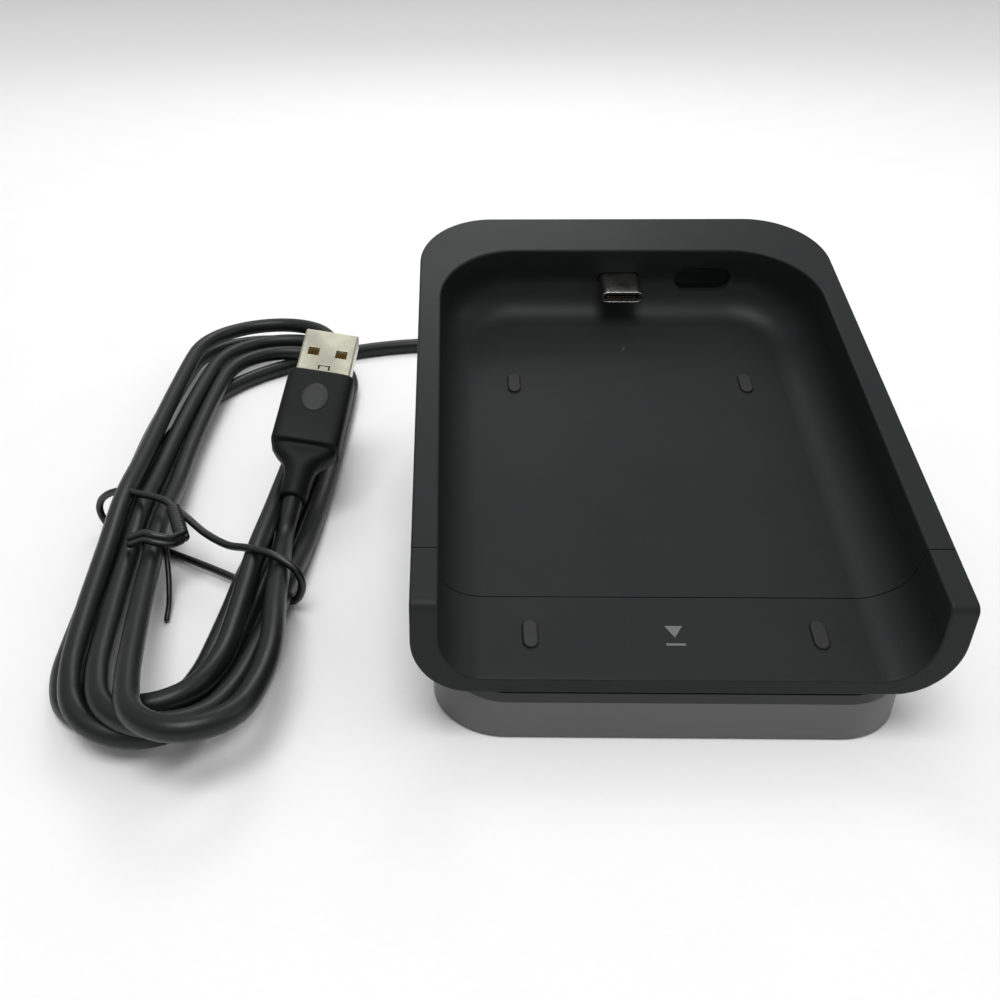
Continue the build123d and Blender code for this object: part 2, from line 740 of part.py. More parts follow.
with BuildPart() as ribbon_socket:
    with BuildSketch(Plane.XY.offset(board_top)):
        with Locations((socket_x, board_rear_y - socket_length / 2)):
            Rectangle(ribbon_width + 2 * socket_border, socket_length)
    extrude(amount=socket_height)
ribbon_socket.part.label = "ribbon_socket"
export_step(ribbon_socket.part, "parts/ribbon_socket.step")

# flat cable from the carrier, down the back wall and forward to its socket
carrier_foot = rim_point(0, (carrier_front + carrier_back) / 2, carrier_bottom)
ribbon_y = base_rear_y - base_wall - ribbon_gap
with BuildPart() as ribbon_cable:
    with BuildSketch(Plane.YZ.offset(socket_x - ribbon_width / 2)):
        with BuildLine() as ribbon_line:
            Polyline((carrier_foot.Y, carrier_foot.Z), (ribbon_y, carrier_foot.Z - ribbon_bend),
                     (ribbon_y, board_top + ribbon_bend), (ribbon_y - ribbon_turn, board_top + ribbon_level),
                     (board_rear_y, board_top + ribbon_level))
            offset(amount=ribbon_thickness / 2, side=Side.BOTH)
        make_face()
    extrude(amount=ribbon_width)
ribbon_cable.part.label = "ribbon_cable"
export_step(ribbon_cable.part, "parts/ribbon_cable.step")

# ----------------------------------------------------------------------------------------- cord
wall_back = Plane(origin=(0, base_rear_y, gland_height), x_dir=(1, 0, 0), z_dir=(0, 1, 0))
header_middle = board_top + header_height / 2

with BuildPart() as cord_strain_relief:
    with BuildSketch(wall_back.offset(-base_wall - gland_flange_inside)):
        Circle(gland_flange_diameter / 2)
    extrude(amount=gland_flange_inside)
    with BuildSketch(wall_back.offset(-base_wall)):
        Circle(gland_neck_diameter / 2)
    extrude(amount=base_wall)
    with BuildSketch(wall_back):
        Circle(gland_flange_diameter / 2)
    extrude(amount=gland_flange_outside)
    with BuildSketch(wall_back.offset(gland_flange_outside)):
        Circle(gland_neck_diameter / 2)
    with BuildSketch(wall_back.offset(relief_length)):
        Circle(relief_tip_diameter / 2)
    loft()
cord_strain_relief.part.label = "cord_strain_relief"
export_step(cord_strain_relief.part, "parts/cord_strain_relief.step")

with BuildPart() as inner_cord:
    with BuildSketch(Plane.XZ.offset(-board_rear_y)):
        with Locations((0, gland_height)):
            Circle(inner_cord_diameter / 2)
    extrude(amount=board_rear_y - (base_rear_y - base_wall - gland_flange_inside))
inner_cord.part.label = "inner_cord"
export_step(inner_cord.part, "parts/inner_cord.step")

# The lead's route: out of the relief, down to the table, round to the left and into the coil.
lead_points = [
    (0.0, base_rear_y + relief_length, gland_height),
    (0.0, 72.0, gland_height),
    (-1.5, 87.0, 5.4),
    (-7.0, 101.5, 2.1),
    (-18.0, 112.7, 2.1),
    (-32.0, 118.2, 2.1),
    (-47.0, 117.4, 2.1),
    (-61.5, 112.8, 2.1),
    (-74.0, 106.0, 2.1),
]


def lead_radii(points):
    """The largest arc at each inner point: 0.45 of its shorter run over the tangent of half the turn."""
    radii = []
    for before, here, after in zip(points, points[1:], points[2:]):
        run_in = Vector(*here) - Vector(*before)
        run_out = Vector(*after) - Vector(*here)
        half_turn = radians(run_in.get_angle(run_out) / 2)
        radii.append(0.45 * min(run_in.length, run_out.length) / tan(half_turn))
    return radii


corner_radii = lead_radii(lead_points)
print("lead radii", [round(radius, 1) for radius in corner_radii])

with BuildPart() as cord_lead:
    with BuildLine() as lead_route:
        FilletPolyline(*lead_points, radius=corner_radii)
    with BuildSketch(Plane(origin=lead_route.wire() @ 0, z_dir=lead_route.wire() % 0)):
        Circle(cord_diameter / 2)
    sweep(path=lead_route.wire())
print("lead length", round(lead_route.wire().length, 1), "volume", round(cord_lead.part.volume, 1),
      "section times length", round(pi * (cord_diameter / 2) ** 2 * lead_route.wire().length, 1))
cord_lead.part.label = "cord_lead"
export_step(cord_lead.part, "parts/cord_lead.step")

with BuildSketch() as coil_outline:
    with Locations(coil_back):
        Circle(coil_back_radius)
    with Locations(coil_front):
        Circle(coil_front_radius)
    make_hull()

with BuildSketch() as coil_window:
    with Locations(window_back):
        Circle(window_back_radius)
    with Locations(window_front):
        Circle(window_front_radius)
    make_hull()

with BuildPart() as cord_coil:
    with BuildSketch():
        add(coil_outline.sketch)
        add(coil_window.sketch, mode=Mode.SUBTRACT)
    extrude(amount=coil_height)
    fillet(cord_coil.edges().group_by(Axis.Z)[-1], coil_edge)
cord_coil.part.label = "cord_coil"
export_step(cord_coil.part, "parts/cord_coil.step")

# The tie's band goes over the coil and down both its sides; its twisted end lies on the coil.
with BuildPart() as twist_tie:
    with BuildSketch():
        add(coil_outline.sketch)
        offset(amount=tie_thickness)
    extrude(amount=coil_height + tie_thickness)
    with BuildSketch():
        add(coil_outline.sketch)
    extrude(amount=coil_height, mode=Mode.SUBTRACT)
    with BuildSketch():
        with Locations(Location((tie_middle[0], tie_middle[1], 0), (0, 0, tie_turn))):
            Rectangle(4 * coil_back_radius, tie_width)
    extrude(amount=coil_height + tie_thickness, mode=Mode.INTERSECT)
    with BuildSketch(Plane.XY.offset(coil_height)):
        with Locations(Location((tie_knot[0], tie_knot[1], 0), (0, 0, tie_turn + tie_knot_turn))):
            SlotOverall(tie_knot_length, tie_knot_diameter)
    extrude(amount=tie_knot_diameter / 2)
twist_tie.part.label = "twist_tie"
export_step(twist_tie.part, "parts/twist_tie.step")

# ----------------------------------------------------------------------------------- USB-A plug
yaw, pitch, roll = radians(plug_a_yaw), radians(plug_a_pitch), radians(plug_a_roll)
plug_a_axis = Vector(sin(yaw) * cos(pitch), cos(yaw) * cos(pitch), sin(pitch))
plug_a_level = Vector(cos(yaw), -sin(yaw), 0)
plug_a_up = plug_a_level.cross(plug_a_axis)
plug_a_side = plug_a_level * cos(roll) + plug_a_up * sin(roll)

# local x across the plug, local y towards the table, normal out of its mouth
plug_a = Plane(origin=plug_a_tip, x_dir=plug_a_side, z_dir=plug_a_axis)

with BuildPart() as usb_a_shell:
    with BuildSketch(plug_a):
        RectangleRounded(plug_a_width, plug_a_height, plug_a_corner)
        RectangleRounded(plug_a_width - 2 * plug_a_wall, plug_a_height - 2 * plug_a_wall,
                         plug_a_inner_corner, mode=Mode.SUBTRACT)
    extrude(amount=-plug_a_length)
    window_plane = Plane(origin=plug_a.from_local_coords(Vector(0, 0, -plug_a_window_set)),
                         x_dir=plug_a.x_dir, z_dir=-plug_a.y_dir)
    with BuildSketch(window_plane):
        with Locations((-plug_a_window_x, 0), (plug_a_window_x, 0)):
            Rectangle(*plug_a_window)
    extrude(amount=plug_a_height, mode=Mode.SUBTRACT)
    with BuildSketch(window_plane.shift_origin(plug_a.from_local_coords(Vector(0, 0, -plug_a_tab_set)))):
        Rectangle(*plug_a_tab)
        with Locations((0, -plug_a_tab_slot)):
            Rectangle(plug_a_tab[0] - 2 * plug_a_tab_slot, plug_a_tab[1], mode=Mode.SUBTRACT)
    extrude(amount=plug_a_height / 2, mode=Mode.SUBTRACT)
usb_a_shell.part.label = "usb_a_shell"
export_step(usb_a_shell.part, "parts/usb_a_shell.step")

tongue_middle = plug_a_height / 2 - plug_a_wall - tongue_thickness / 2
with BuildPart() as usb_a_tongue:
    with BuildSketch(plug_a.offset(-tongue_set)):
        with Locations((0, tongue_middle)):
            Rectangle(plug_a_width - 2 * (plug_a_wall + tongue_side_gap), tongue_thickness)
    extrude(amount=-plug_a_length + tongue_set)
usb_a_tongue.part.label = "usb_a_tongue"
export_step(usb_a_tongue.part, "parts/usb_a_tongue.step")

with BuildPart() as usb_a_contacts:
    with BuildSketch(plug_a.offset(-tongue_set - contact_a_set)):
        contact_y = tongue_middle - (tongue_thickness + contact_a_size[1]) / 2
        with Locations([(x, contact_y) for x in contact_a_places]):
            Rectangle(*contact_a_size)
    extrude(amount=-contact_a_length)
usb_a_contacts.part.label = "usb_a_contacts"
export_step(usb_a_contacts.part, "parts/usb_a_contacts.step")

with BuildPart() as usb_a_body:
    with BuildSketch(plug_a.offset(-plug_a_bare)):
        RectangleRounded(body_width, body_height, body_corner)
    extrude(amount=-body_length)
    fillet(usb_a_body.edges().group_by(Axis(plug_a.origin, plug_a.z_dir))[-1], body_edge)
    with BuildSketch(plug_a.offset(-plug_a_bare)):
        RectangleRounded(plug_a_width, plug_a_height, plug_a_corner)
    extrude(amount=plug_a_bare - plug_a_length, mode=Mode.SUBTRACT)
usb_a_body.part.label = "usb_a_body"
export_step(usb_a_body.part, "parts/usb_a_body.step")

body_back = plug_a.offset(-plug_a_bare - body_length)
with BuildPart() as usb_a_neck:
    with BuildSketch(body_back):
        Ellipse(neck_width / 2, neck_height / 2)
    with BuildSketch(body_back.offset(-neck_taper)):
        Circle(neck_diameter / 2)
    loft()
    with BuildSketch(body_back.offset(-neck_taper)):
        Circle(neck_diameter / 2)
    extrude(amount=-neck_length + neck_taper)
usb_a_neck.part.label = "usb_a_neck"
export_step(usb_a_neck.part, "parts/usb_a_neck.step")
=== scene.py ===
"""Looks of a charging dock for a hand-held card terminal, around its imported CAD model.

The dock's own parts keep their CAD meshes and get finishes. The captive lead with its hank of
loops, the USB-A plug's moulding, the wire tie and the ribbed strain relief are made here. Sizes
are in millimetres in the classes' fields and turn into metres where a mesh or curve is made.
"""

import json
import logging
from dataclasses import dataclass, field
from enum import Enum
from functools import cache
from math import atan2, pi, radians

import bpy
import numpy as np
from mathutils import Matrix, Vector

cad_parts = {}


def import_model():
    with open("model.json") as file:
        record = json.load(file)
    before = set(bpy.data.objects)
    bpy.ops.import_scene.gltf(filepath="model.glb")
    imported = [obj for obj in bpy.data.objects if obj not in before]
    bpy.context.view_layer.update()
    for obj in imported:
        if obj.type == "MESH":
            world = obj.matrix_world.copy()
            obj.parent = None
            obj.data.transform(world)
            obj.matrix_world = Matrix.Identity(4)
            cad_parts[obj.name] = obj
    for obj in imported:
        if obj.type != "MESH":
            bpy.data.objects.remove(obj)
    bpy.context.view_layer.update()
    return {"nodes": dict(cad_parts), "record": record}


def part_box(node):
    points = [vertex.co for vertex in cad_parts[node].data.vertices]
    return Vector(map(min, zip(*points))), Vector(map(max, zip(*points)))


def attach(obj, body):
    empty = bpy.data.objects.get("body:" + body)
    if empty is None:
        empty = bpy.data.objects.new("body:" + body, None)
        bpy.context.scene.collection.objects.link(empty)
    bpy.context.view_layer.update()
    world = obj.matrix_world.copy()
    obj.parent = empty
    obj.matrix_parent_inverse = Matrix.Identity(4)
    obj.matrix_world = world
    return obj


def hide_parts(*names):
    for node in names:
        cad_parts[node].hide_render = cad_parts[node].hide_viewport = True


MM = 0.001
log = logging.getLogger("dock")
Point = tuple[float, float, float]
Colour = tuple[float, float, float]


def tone(*channels: int) -> Colour:
    """Linear colour of a display colour, by the power part of the display's curve.

    Args:
        channels: red, green and blue, each from 0 to 255.

    Returns:
        The three linear values, each from 0 to 1.
    """
    offset, power = 0.055, 2.4
    return tuple(((channel / 255 + offset) / (1 + offset)) ** power for channel in channels)


# ------------------------------------------------------------------------------------ shader kit
class Field:
    """The value of one socket, with arithmetic that adds Math nodes."""

    def __init__(self, shader: "Shader", socket: bpy.types.NodeSocket) -> None:
        """Keeps the shader that the socket belongs to."""
        self.shader = shader
        self.socket = socket

    def _math(self, operation: str, first: "Field | float", second: "Field | float") -> "Field":
        """One Math node on two values."""
        return self.shader.node("ShaderNodeMath", {"operation": operation}, {0: first, 1: second})

    def __add__(self, other: "Field | float") -> "Field":
        """Sum."""
        return self._math("ADD", self, other)

    def __mul__(self, other: "Field | float") -> "Field":
        """Product."""
        return self._math("MULTIPLY", self, other)

    __radd__ = __add__
    __rmul__ = __mul__

    def ramp(self, low: float, high: float) -> "Field":
        """The value carried from low..high to 0..1, and held inside it."""
        return self.shader.node("ShaderNodeMapRange", {"clamp": True},
                                {"Value": self, "From Min": low, "From Max": high})


class Shader:
    """One node material, built node by node."""

    def __init__(self, name: str) -> None:
        """Starts an empty material whose surface is a Principled shader."""
        self.material = bpy.data.materials.new(name)
        self.material.use_nodes = True
        self.tree = self.material.node_tree
        self.surface = self.tree.nodes["Principled BSDF"]
        self.place = self.node("ShaderNodeTexCoord", {}, {}, "Object")

    def node(self, kind: str, settings: dict, values: dict, output: str | int = 0) -> Field:
        """Adds a node.

        Args:
            kind: the node's type.
            settings: its properties, which are set first.
            values: numbers, colours or fields for its input sockets, by name or index.
            output: the output socket that is wanted.

        Returns:
            The output socket as a field.
        """
        made = self.tree.nodes.new(kind)
        for name, value in settings.items():
            setattr(made, name, value)
        for name, value in values.items():
            self.put(made.inputs[name], value)
        return Field(self, made.outputs[output])

    def put(self, socket: bpy.types.NodeSocket, value: "Field | float | tuple") -> None:
        """Links a field to a socket, or sets a plain number or colour on it.

        Args:
            socket: the input socket.
            value: what it gets.
        """
        if isinstance(value, Field):
            self.tree.links.new(value.socket, socket)
        elif isinstance(value, tuple) and socket.type == "RGBA":
            socket.default_value = (*value, 1.0)
        else:
            socket.default_value = value

    def noise(self, scale: float, detail: float = 2.0, stretch: Point = (1.0, 1.0, 1.0)) -> Field:
        """Noise in object space, from about 0 to 1; stretch multiplies its scale on each axis."""
        place = self.node("ShaderNodeMapping", {}, {"Vector": self.place, "Scale": stretch})
        return self.node("ShaderNodeTexNoise", {},
                         {"Vector": place, "Scale": scale, "Detail": detail})

    def mix(self, factor: Field, first: Colour, second: Colour) -> Field:
        """A colour from first to second by the factor."""
        return self.node("ShaderNodeMix", {"data_type": "RGBA"},
                         {0: factor, 6: first, 7: second}, 2)

    def bump(self, height: Field, distance: float, strength: float, edge: float = 0.0) -> Field:
        """A normal that leans with the height's slope.

        Args:
            height: the height, from 0 to 1.
            distance: the height in metres of 1.
            strength: the share of the lean that is used.
            edge: radius in metres to which the mesh's sharp edges are rounded, or 0.

        Returns:
            The normal.
        """
        values = {"Height": height, "Distance": distance, "Strength": strength}
        if edge > 0:
            values["Normal"] = self.node("ShaderNodeBevel", {"samples": 6}, {"Radius": edge})
        return self.node("ShaderNodeBump", {}, values)

    def dress(self, values: dict) -> bpy.types.Material:
        """Sets the surface's sockets by name, and gives the finished material."""
        for name, value in values.items():
            self.put(self.surface.inputs[name], value)
        return self.material


def shaded(colour: Colour, factor: float) -> Colour:
    """A colour made lighter or darker."""
    return tuple(min(1.0, channel * factor) for channel in colour)


class Grain(Enum):
    """How a moulding's skin is textured: bumps in a metre, their height in metres, strength."""

    SPARK = (2600.0, 0.00005, 0.35)
    SATIN = (5200.0, 0.00002, 0.25)
    SOFT = (1500.0, 0.00003, 0.20)
    SMOOTH = (900.0, 0.00001, 0.10)


@dataclass(frozen=True)
class Moulded:
    """Plastic or rubber as it leaves the mould: fine grain, faint handling marks, soft edges."""

    name: str
    colour: Colour
    roughness: float
    grain: Grain = Grain.SPARK
    variation: float = 0.10
    edge: float = 0.00015
    specular: float = 0.5
    cloud_scale: float = 45.0                       # handling marks in a metre
    cloud_share: float = 0.6                        # of the shade; the grain's specks have the rest
    cloud_dulling: float = 0.08                     # roughness that the marks add
    speck_dulling: float = 0.05                     # roughness that the specks add

    def material(self) -> bpy.types.Material:
        """The finish as a node material."""
        shader = Shader(self.name)
        scale, height, strength = self.grain.value
        clouds = shader.noise(self.cloud_scale, 3.0).ramp(0.3, 0.7)
        grain = shader.noise(scale)
        specks = grain.ramp(0.35, 0.65)
        shade = clouds * self.cloud_share + specks * (1 - self.cloud_share)
        smoothest = self.roughness - (self.cloud_dulling + self.speck_dulling) / 2
        return shader.dress({
            "Base Color": shader.mix(shade, shaded(self.colour, 1 - self.variation),
                                     shaded(self.colour, 1 + self.variation)),
            "Roughness": clouds * self.cloud_dulling + specks * self.speck_dulling + smoothest,
            "Specular IOR Level": self.specular,
            "Normal": shader.bump(grain, height, strength, self.edge),
        })


@dataclass(frozen=True)
class Metal:
    """Plated or brushed metal: fine streaks along one way, faint stains and dull spots."""

    name: str
    colour: Colour
    roughness: float
    stretch: Point = (1.0, 12.0, 1.0)
    variation: float = 0.10
    edge: float = 0.0001
    stain_scale: float = 160.0                      # stains in a metre
    streak_scale: float = 900.0                     # streaks in a metre
    streak_height: float = 0.00002
    stain_dulling: float = 0.12                     # roughness that the stains add
    streak_dulling: float = 0.08                    # roughness that the streaks add

    def material(self) -> bpy.types.Material:
        """The finish as a node material."""
        shader = Shader(self.name)
        stains = shader.noise(self.stain_scale, 4.0).ramp(0.35, 0.7)
        streaks = shader.noise(self.streak_scale, 3.0, self.stretch)
        shade = stains * 0.5 + streaks * 0.5
        smoothest = self.roughness - (self.stain_dulling + self.streak_dulling) / 2
        return shader.dress({
            "Base Color": shader.mix(shade, shaded(self.colour, 1 - self.variation),
                                     shaded(self.colour, 1 + self.variation)),
            "Metallic": 1.0,
            "Roughness": stains * self.stain_dulling + streaks * self.streak_dulling + smoothest,
            "Normal": shader.bump(streaks, self.streak_height, 0.15, self.edge),
        })


@dataclass(frozen=True)
class Lens:
    """Clear or smoked plastic with faint smears, under a thin gloss coat."""

    name: str
    colour: Colour
    roughness: float
    smear_scale: float = 300.0                      # smears in a metre
    smear_height: float = 0.00001
    smear_dulling: float = 0.08                     # roughness that a smear adds
    coat: float = 0.6
    coat_roughness: float = 0.05

    def material(self) -> bpy.types.Material:
        """The finish as a node material."""
        shader = Shader(self.name)
        smears = shader.noise(self.smear_scale, 3.0).ramp(0.35, 0.7)
        return shader.dress({
            "Base Color": shader.mix(smears, shaded(self.colour, 0.8), shaded(self.colour, 1.3)),
            "Roughness": smears * self.smear_dulling + self.roughness,
            "Coat Weight": self.coat,
            "Coat Roughness": self.coat_roughness,
            "Normal": shader.bump(smears, self.smear_height, 0.1),
        })


@dataclass(frozen=True)
class SolderMask:
    """Green mask over copper tracks that show as slightly lighter lines."""

    name: str
    colour: Colour
    roughness: float = 0.35
    track_scale: float = 110.0
    track_bends: float = 3.0
    track_shade: float = 1.8                        # of the colour, over a track
    track_height: float = 0.00003
    track_dulling: float = 0.1                      # roughness that a track adds

    def material(self) -> bpy.types.Material:
        """The finish as a node material."""
        shader = Shader(self.name)
        waves = {"Vector": shader.place, "Scale": self.track_scale, "Distortion": self.track_bends}
        bands = [shader.node("ShaderNodeTexWave", {"bands_direction": way}, waves, "Fac")
                 for way in ("X", "Y")]
        tracks = (bands[0] * bands[1]).ramp(0.25, 0.4)
        return shader.dress({
            "Base Color": shader.mix(tracks, self.colour, shaded(self.colour, self.track_shade)),
            "Roughness": tracks * self.track_dulling + self.roughness,
            "Normal": shader.bump(tracks, self.track_height, 0.3),
        })


FINISHES = {
    "housing_plastic": Moulded("housing_plastic", tone(29, 34, 33), 0.44, specular=0.16),
    "skirt_plastic": Moulded("skirt_plastic", tone(30, 31, 31), 0.42, Grain.SATIN, specular=0.4),
    # painted reflection: the base's grey colour stands in for the bright table mirrored in its dark
    # plastic
    "base_finish": Moulded("base_finish", tone(83, 82, 82), 0.36, Grain.SATIN, 0.05),
    "cover_plastic": Moulded("cover_plastic", tone(38, 38, 38), 0.6),
    "rubber": Moulded("rubber", tone(10, 11, 11), 0.62, Grain.SOFT),
    "steel": Metal("steel", tone(190, 190, 188), 0.32),
    "screws": Metal("screws", tone(165, 165, 163), 0.36, (1.0, 1.0, 6.0)),
    "mark_print": Moulded("mark_print", tone(96, 102, 99), 0.55, Grain.SATIN, 0.06, 0.0),
    "light_lens": Lens("light_lens", tone(6, 6, 6), 0.35),
    "window_lens": Lens("window_lens", tone(14, 15, 15), 0.2),
    "board": SolderMask("board", tone(36, 84, 54)),
    "chips": Moulded("chips", tone(42, 42, 42), 0.55, Grain.SATIN),
    "lamp": Lens("lamp", tone(225, 225, 210), 0.2),
    "connector_plastic": Moulded("connector_plastic", tone(38, 38, 38), 0.45, Grain.SATIN),
    "plated_shell": Metal("plated_shell", tone(178, 178, 172), 0.2, (1.0, 1.0, 8.0), 0.06),
    "contact_gold": Metal("contact_gold", tone(214, 178, 96), 0.28),
    "ribbon": Moulded("ribbon", tone(212, 208, 200), 0.5, Grain.SMOOTH),
    "cord_jacket": Moulded("cord_jacket", tone(20, 24, 23), 0.38, Grain.SOFT, 0.08, 0.0, 0.3),
    "usb_a_metal": Metal("usb_a_metal", tone(190, 189, 172), 0.26, (1.0, 12.0, 1.0), 0.05),
    "usb_a_insulator": Moulded("usb_a_insulator", tone(224, 224, 220), 0.45, Grain.SMOOTH),
    "usb_a_overmould": Moulded("usb_a_overmould", tone(16, 20, 19), 0.5, specular=0.15),
    "usb_a_badge": Moulded("usb_a_badge", tone(10, 13, 12), 0.55, Grain.SMOOTH, 0.05),
    "tie_plastic": Moulded("tie_plastic", tone(14, 16, 16), 0.36, Grain.SMOOTH),
    "leaf_brass": Metal("leaf_brass", tone(150, 120, 70), 0.34),
    "table": Moulded("table", (0.86, 0.86, 0.86), 0.7, Grain.SMOOTH, 0.01, 0.0),
}


@cache
def material_named(finish: str) -> bpy.types.Material:
    """The finish's material, built the first time that it is asked for."""
    return FINISHES[finish].material()


# ------------------------------------------------------------------------------- surfaces, numpy
def unit(vectors: np.ndarray) -> np.ndarray:
    """Each vector over its length."""
    return vectors / np.maximum(np.linalg.norm(vectors, axis=-1, keepdims=True), 1e-12)


def loft(rings: np.ndarray) -> tuple[np.ndarray, list]:
    """A closed skin over rings.

    Every ring is joined to the next by quads, the last column to the first, and each end is closed
    by triangles to the ring's own centre. Rings go anticlockwise seen from the far end.

    Args:
        rings: points, shaped (rings, points in a ring, 3).

    Returns:
        The points with the two centres at the end, and the faces.
    """
    count, around, _ = rings.shape
    row, column = np.meshgrid(np.arange(count - 1), np.arange(around), indexing="ij")
    ahead = (column + 1) % around
    quads = np.stack([row * around + column, row * around + ahead,
                      (row + 1) * around + ahead, (row + 1) * around + column], axis=-1)
    points = np.vstack([rings.reshape(-1, 3), rings[0].mean(0), rings[-1].mean(0)])
    step = np.arange(around)
    turned = (step + 1) % around
    start, end = count * around, count * around + 1
    first = np.stack([np.full(around, start), turned, step], axis=-1)
    base = (count - 1) * around
    last = np.stack([np.full(around, end), base + step, base + turned], axis=-1)
    return points, quads.reshape(-1, 4).tolist() + first.tolist() + last.tolist()


def joined(parts: list[tuple[np.ndarray, list]]) -> tuple[np.ndarray, list]:
    """Several skins as one, with each part's point numbers moved past those before it.

    Args:
        parts: the points and faces of each skin.

    Returns:
        The points and the faces of all.
    """
    points, faces, offset = [], [], 0
    for part_points, part_faces in parts:
        points.append(part_points)
        faces += [[index + offset for index in face] for face in part_faces]
        offset += len(part_points)
    return np.vstack(points), faces


def tube(path: np.ndarray, radii: np.ndarray, sides: int = 16) -> tuple[np.ndarray, list]:
    """A closed tube along a path.

    At each point a circle of the given radius lies square to the path. Its first axis is carried
    along from the one before, less what points along the path, so that the tube doesn't twist.
    Three more rings at each end shrink along a quarter circle and round it.

    Args:
        path: points in millimetres, shaped (points, 3).
        radii: the radius at each point.
        sides: how many points go round.

    Returns:
        The points and the faces.
    """
    ways = unit(np.gradient(path, axis=0))
    side = np.cross(ways[0], (0.0, 0.0, 1.0) if abs(ways[0][2]) < 0.9 else (1.0, 0.0, 0.0))
    sides_at = []
    for way in ways:
        side = unit(side - way * np.dot(side, way))
        sides_at.append(side)
    first = np.array(sides_at)
    second = np.cross(ways, first)
    angles = np.array([0.35, 0.7, 0.93]) * pi / 2
    head = path[0] - ways[0] * radii[0] * np.sin(angles[::-1])[:, None]
    foot = path[-1] + ways[-1] * radii[-1] * np.sin(angles)[:, None]
    centres = np.vstack([head, path, foot])
    reach = np.concatenate([radii[0] * np.cos(angles[::-1]), radii, radii[-1] * np.cos(angles)])
    more = (len(angles), len(angles))
    first, second = (np.pad(axis, (more, (0, 0)), mode="edge") for axis in (first, second))
    turn = np.linspace(0, 2 * pi, sides, endpoint=False)
    circle = (first[:, None] * np.cos(turn)[None, :, None]
              + second[:, None] * np.sin(turn)[None, :, None])
    return loft(centres[:, None] + circle * reach[:, None, None])


def smooth_path(points: np.ndarray, steps: int = 12) -> np.ndarray:
    """A curve through all the points.

    Each run is a cubic whose slope at a point is half the way from the point before to the one
    after.

    Args:
        points: the points in order.
        steps: how many parts each run is cut into.

    Returns:
        The points of the curve.
    """
    padded = np.vstack([2 * points[0] - points[1], points, 2 * points[-1] - points[-2]])
    before, here, there, after = padded[:-3], padded[1:-2], padded[2:-1], padded[3:]
    t = np.linspace(0, 1, steps, endpoint=False)[None, :, None]
    slope_in, slope_out = (there - before)[:, None] / 2, (after - here)[:, None] / 2
    here, there = here[:, None], there[:, None]
    curve = ((2 * t**3 - 3 * t**2 + 1) * here + (t**3 - 2 * t**2 + t) * slope_in
             + (3 * t**2 - 2 * t**3) * there + (t**3 - t**2) * slope_out)
    return np.vstack([curve.reshape(-1, 3), points[-1:]])


def rounded(half_width: float, half_height: float, power: float, around: int) -> np.ndarray:
    """A closed outline: cosine and sine of the angle, each raised to 2/power and kept signed.

    Args:
        half_width: reach along the first axis.
        half_height: reach along the second axis.
        power: 2 for an ellipse; higher powers come close to a rectangle with rounded corners.
        around: how many points go round.

    Returns:
        The outline's points, shaped (around, 2).
    """
    turn = np.linspace(0, 2 * pi, around, endpoint=False)
    cosine, sine = np.cos(turn), np.sin(turn)
    return np.stack([half_width * np.sign(cosine) * np.abs(cosine) ** (2 / power),
                     half_height * np.sign(sine) * np.abs(sine) ** (2 / power)], axis=-1)


def placed(place: Point, first: np.ndarray, second: np.ndarray, third: np.ndarray) -> Matrix:
    """The matrix of a light or camera at a place, with its three axes along the ways given."""
    columns = np.stack([first, second, third], axis=1)
    return Matrix.Translation(place) @ Matrix(columns.tolist()).to_4x4()


def piece(name: str, skin: tuple[np.ndarray, list], finish: str,
          body: str = "dock") -> bpy.types.Object:
    """A finished mesh piece.

    Args:
        name: the piece's name.
        skin: its points in millimetres and its faces.
        finish: the name of its finish.
        body: the CAD body that it rides on.

    Returns:
        The object, at the origin with its place in its mesh.
    """
    points, faces = skin
    mesh = bpy.data.meshes.new(name)
    mesh.from_pydata((points * MM).tolist(), [], faces)
    mesh.polygons.foreach_set("use_smooth", np.ones(len(mesh.polygons), dtype=bool))
    mesh.materials.append(material_named(finish))
    mesh.update()
    made = bpy.data.objects.new(name, mesh)
    bpy.context.scene.collection.objects.link(made)
    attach(made, body)
    log.info("piece %s: %d faces", name, len(mesh.polygons))
    return made


# -------------------------------------------------------------------------------- sub-assemblies
@dataclass
class Dock:
    """The dock's own CAD parts, which keep their meshes, and the finish that each one gets."""

    finishes: dict[str, tuple[str, ...]] = field(default_factory=lambda: {
        "housing_plastic": ("upper_housing", "front_slide", "slide_runner", "usb_c_carrier"),
        "skirt_plastic": ("skirt",),
        # the base shell's grey is a painted reflection of the table on dark plastic
        "base_finish": ("base_shell",),
        "cover_plastic": ("bottom_cover",),
        "rubber": ("rubber_feet", "floor_pads_rear", "floor_pads_front"),
        "steel": ("guide_rods", "ballast_plate"),
        "screws": ("case_screws", "board_screws", "runner_screws", "stop_screw"),
        "mark_print": ("direction_mark",),
        "light_lens": ("light_pipe",),
        "window_lens": ("back_window",),
        "board": ("main_board", "lamp_board"),
        "chips": ("board_chips",),
        "lamp": ("status_lamp",),
        "connector_plastic": ("cord_header", "ribbon_socket", "usb_c_core"),
        "plated_shell": ("usb_c_shell",),
        "contact_gold": ("usb_c_contacts", "usb_a_contacts"),
        "ribbon": ("ribbon_cable",),
        "cord_jacket": ("inner_cord",),
        "usb_a_metal": ("usb_a_shell",),
        "usb_a_insulator": ("usb_a_tongue",),
    })

    def dress(self, nodes: dict[str, bpy.types.Object]) -> None:
        """Gives every CAD node that stays its finish.

        Args:
            nodes: the CAD nodes by name.
        """
        for finish, names in self.finishes.items():
            for name in names:
                mesh = nodes[name].data
                mesh.materials.clear()
                mesh.materials.append(material_named(finish))
                log.info("finish %s on %s", finish, name)


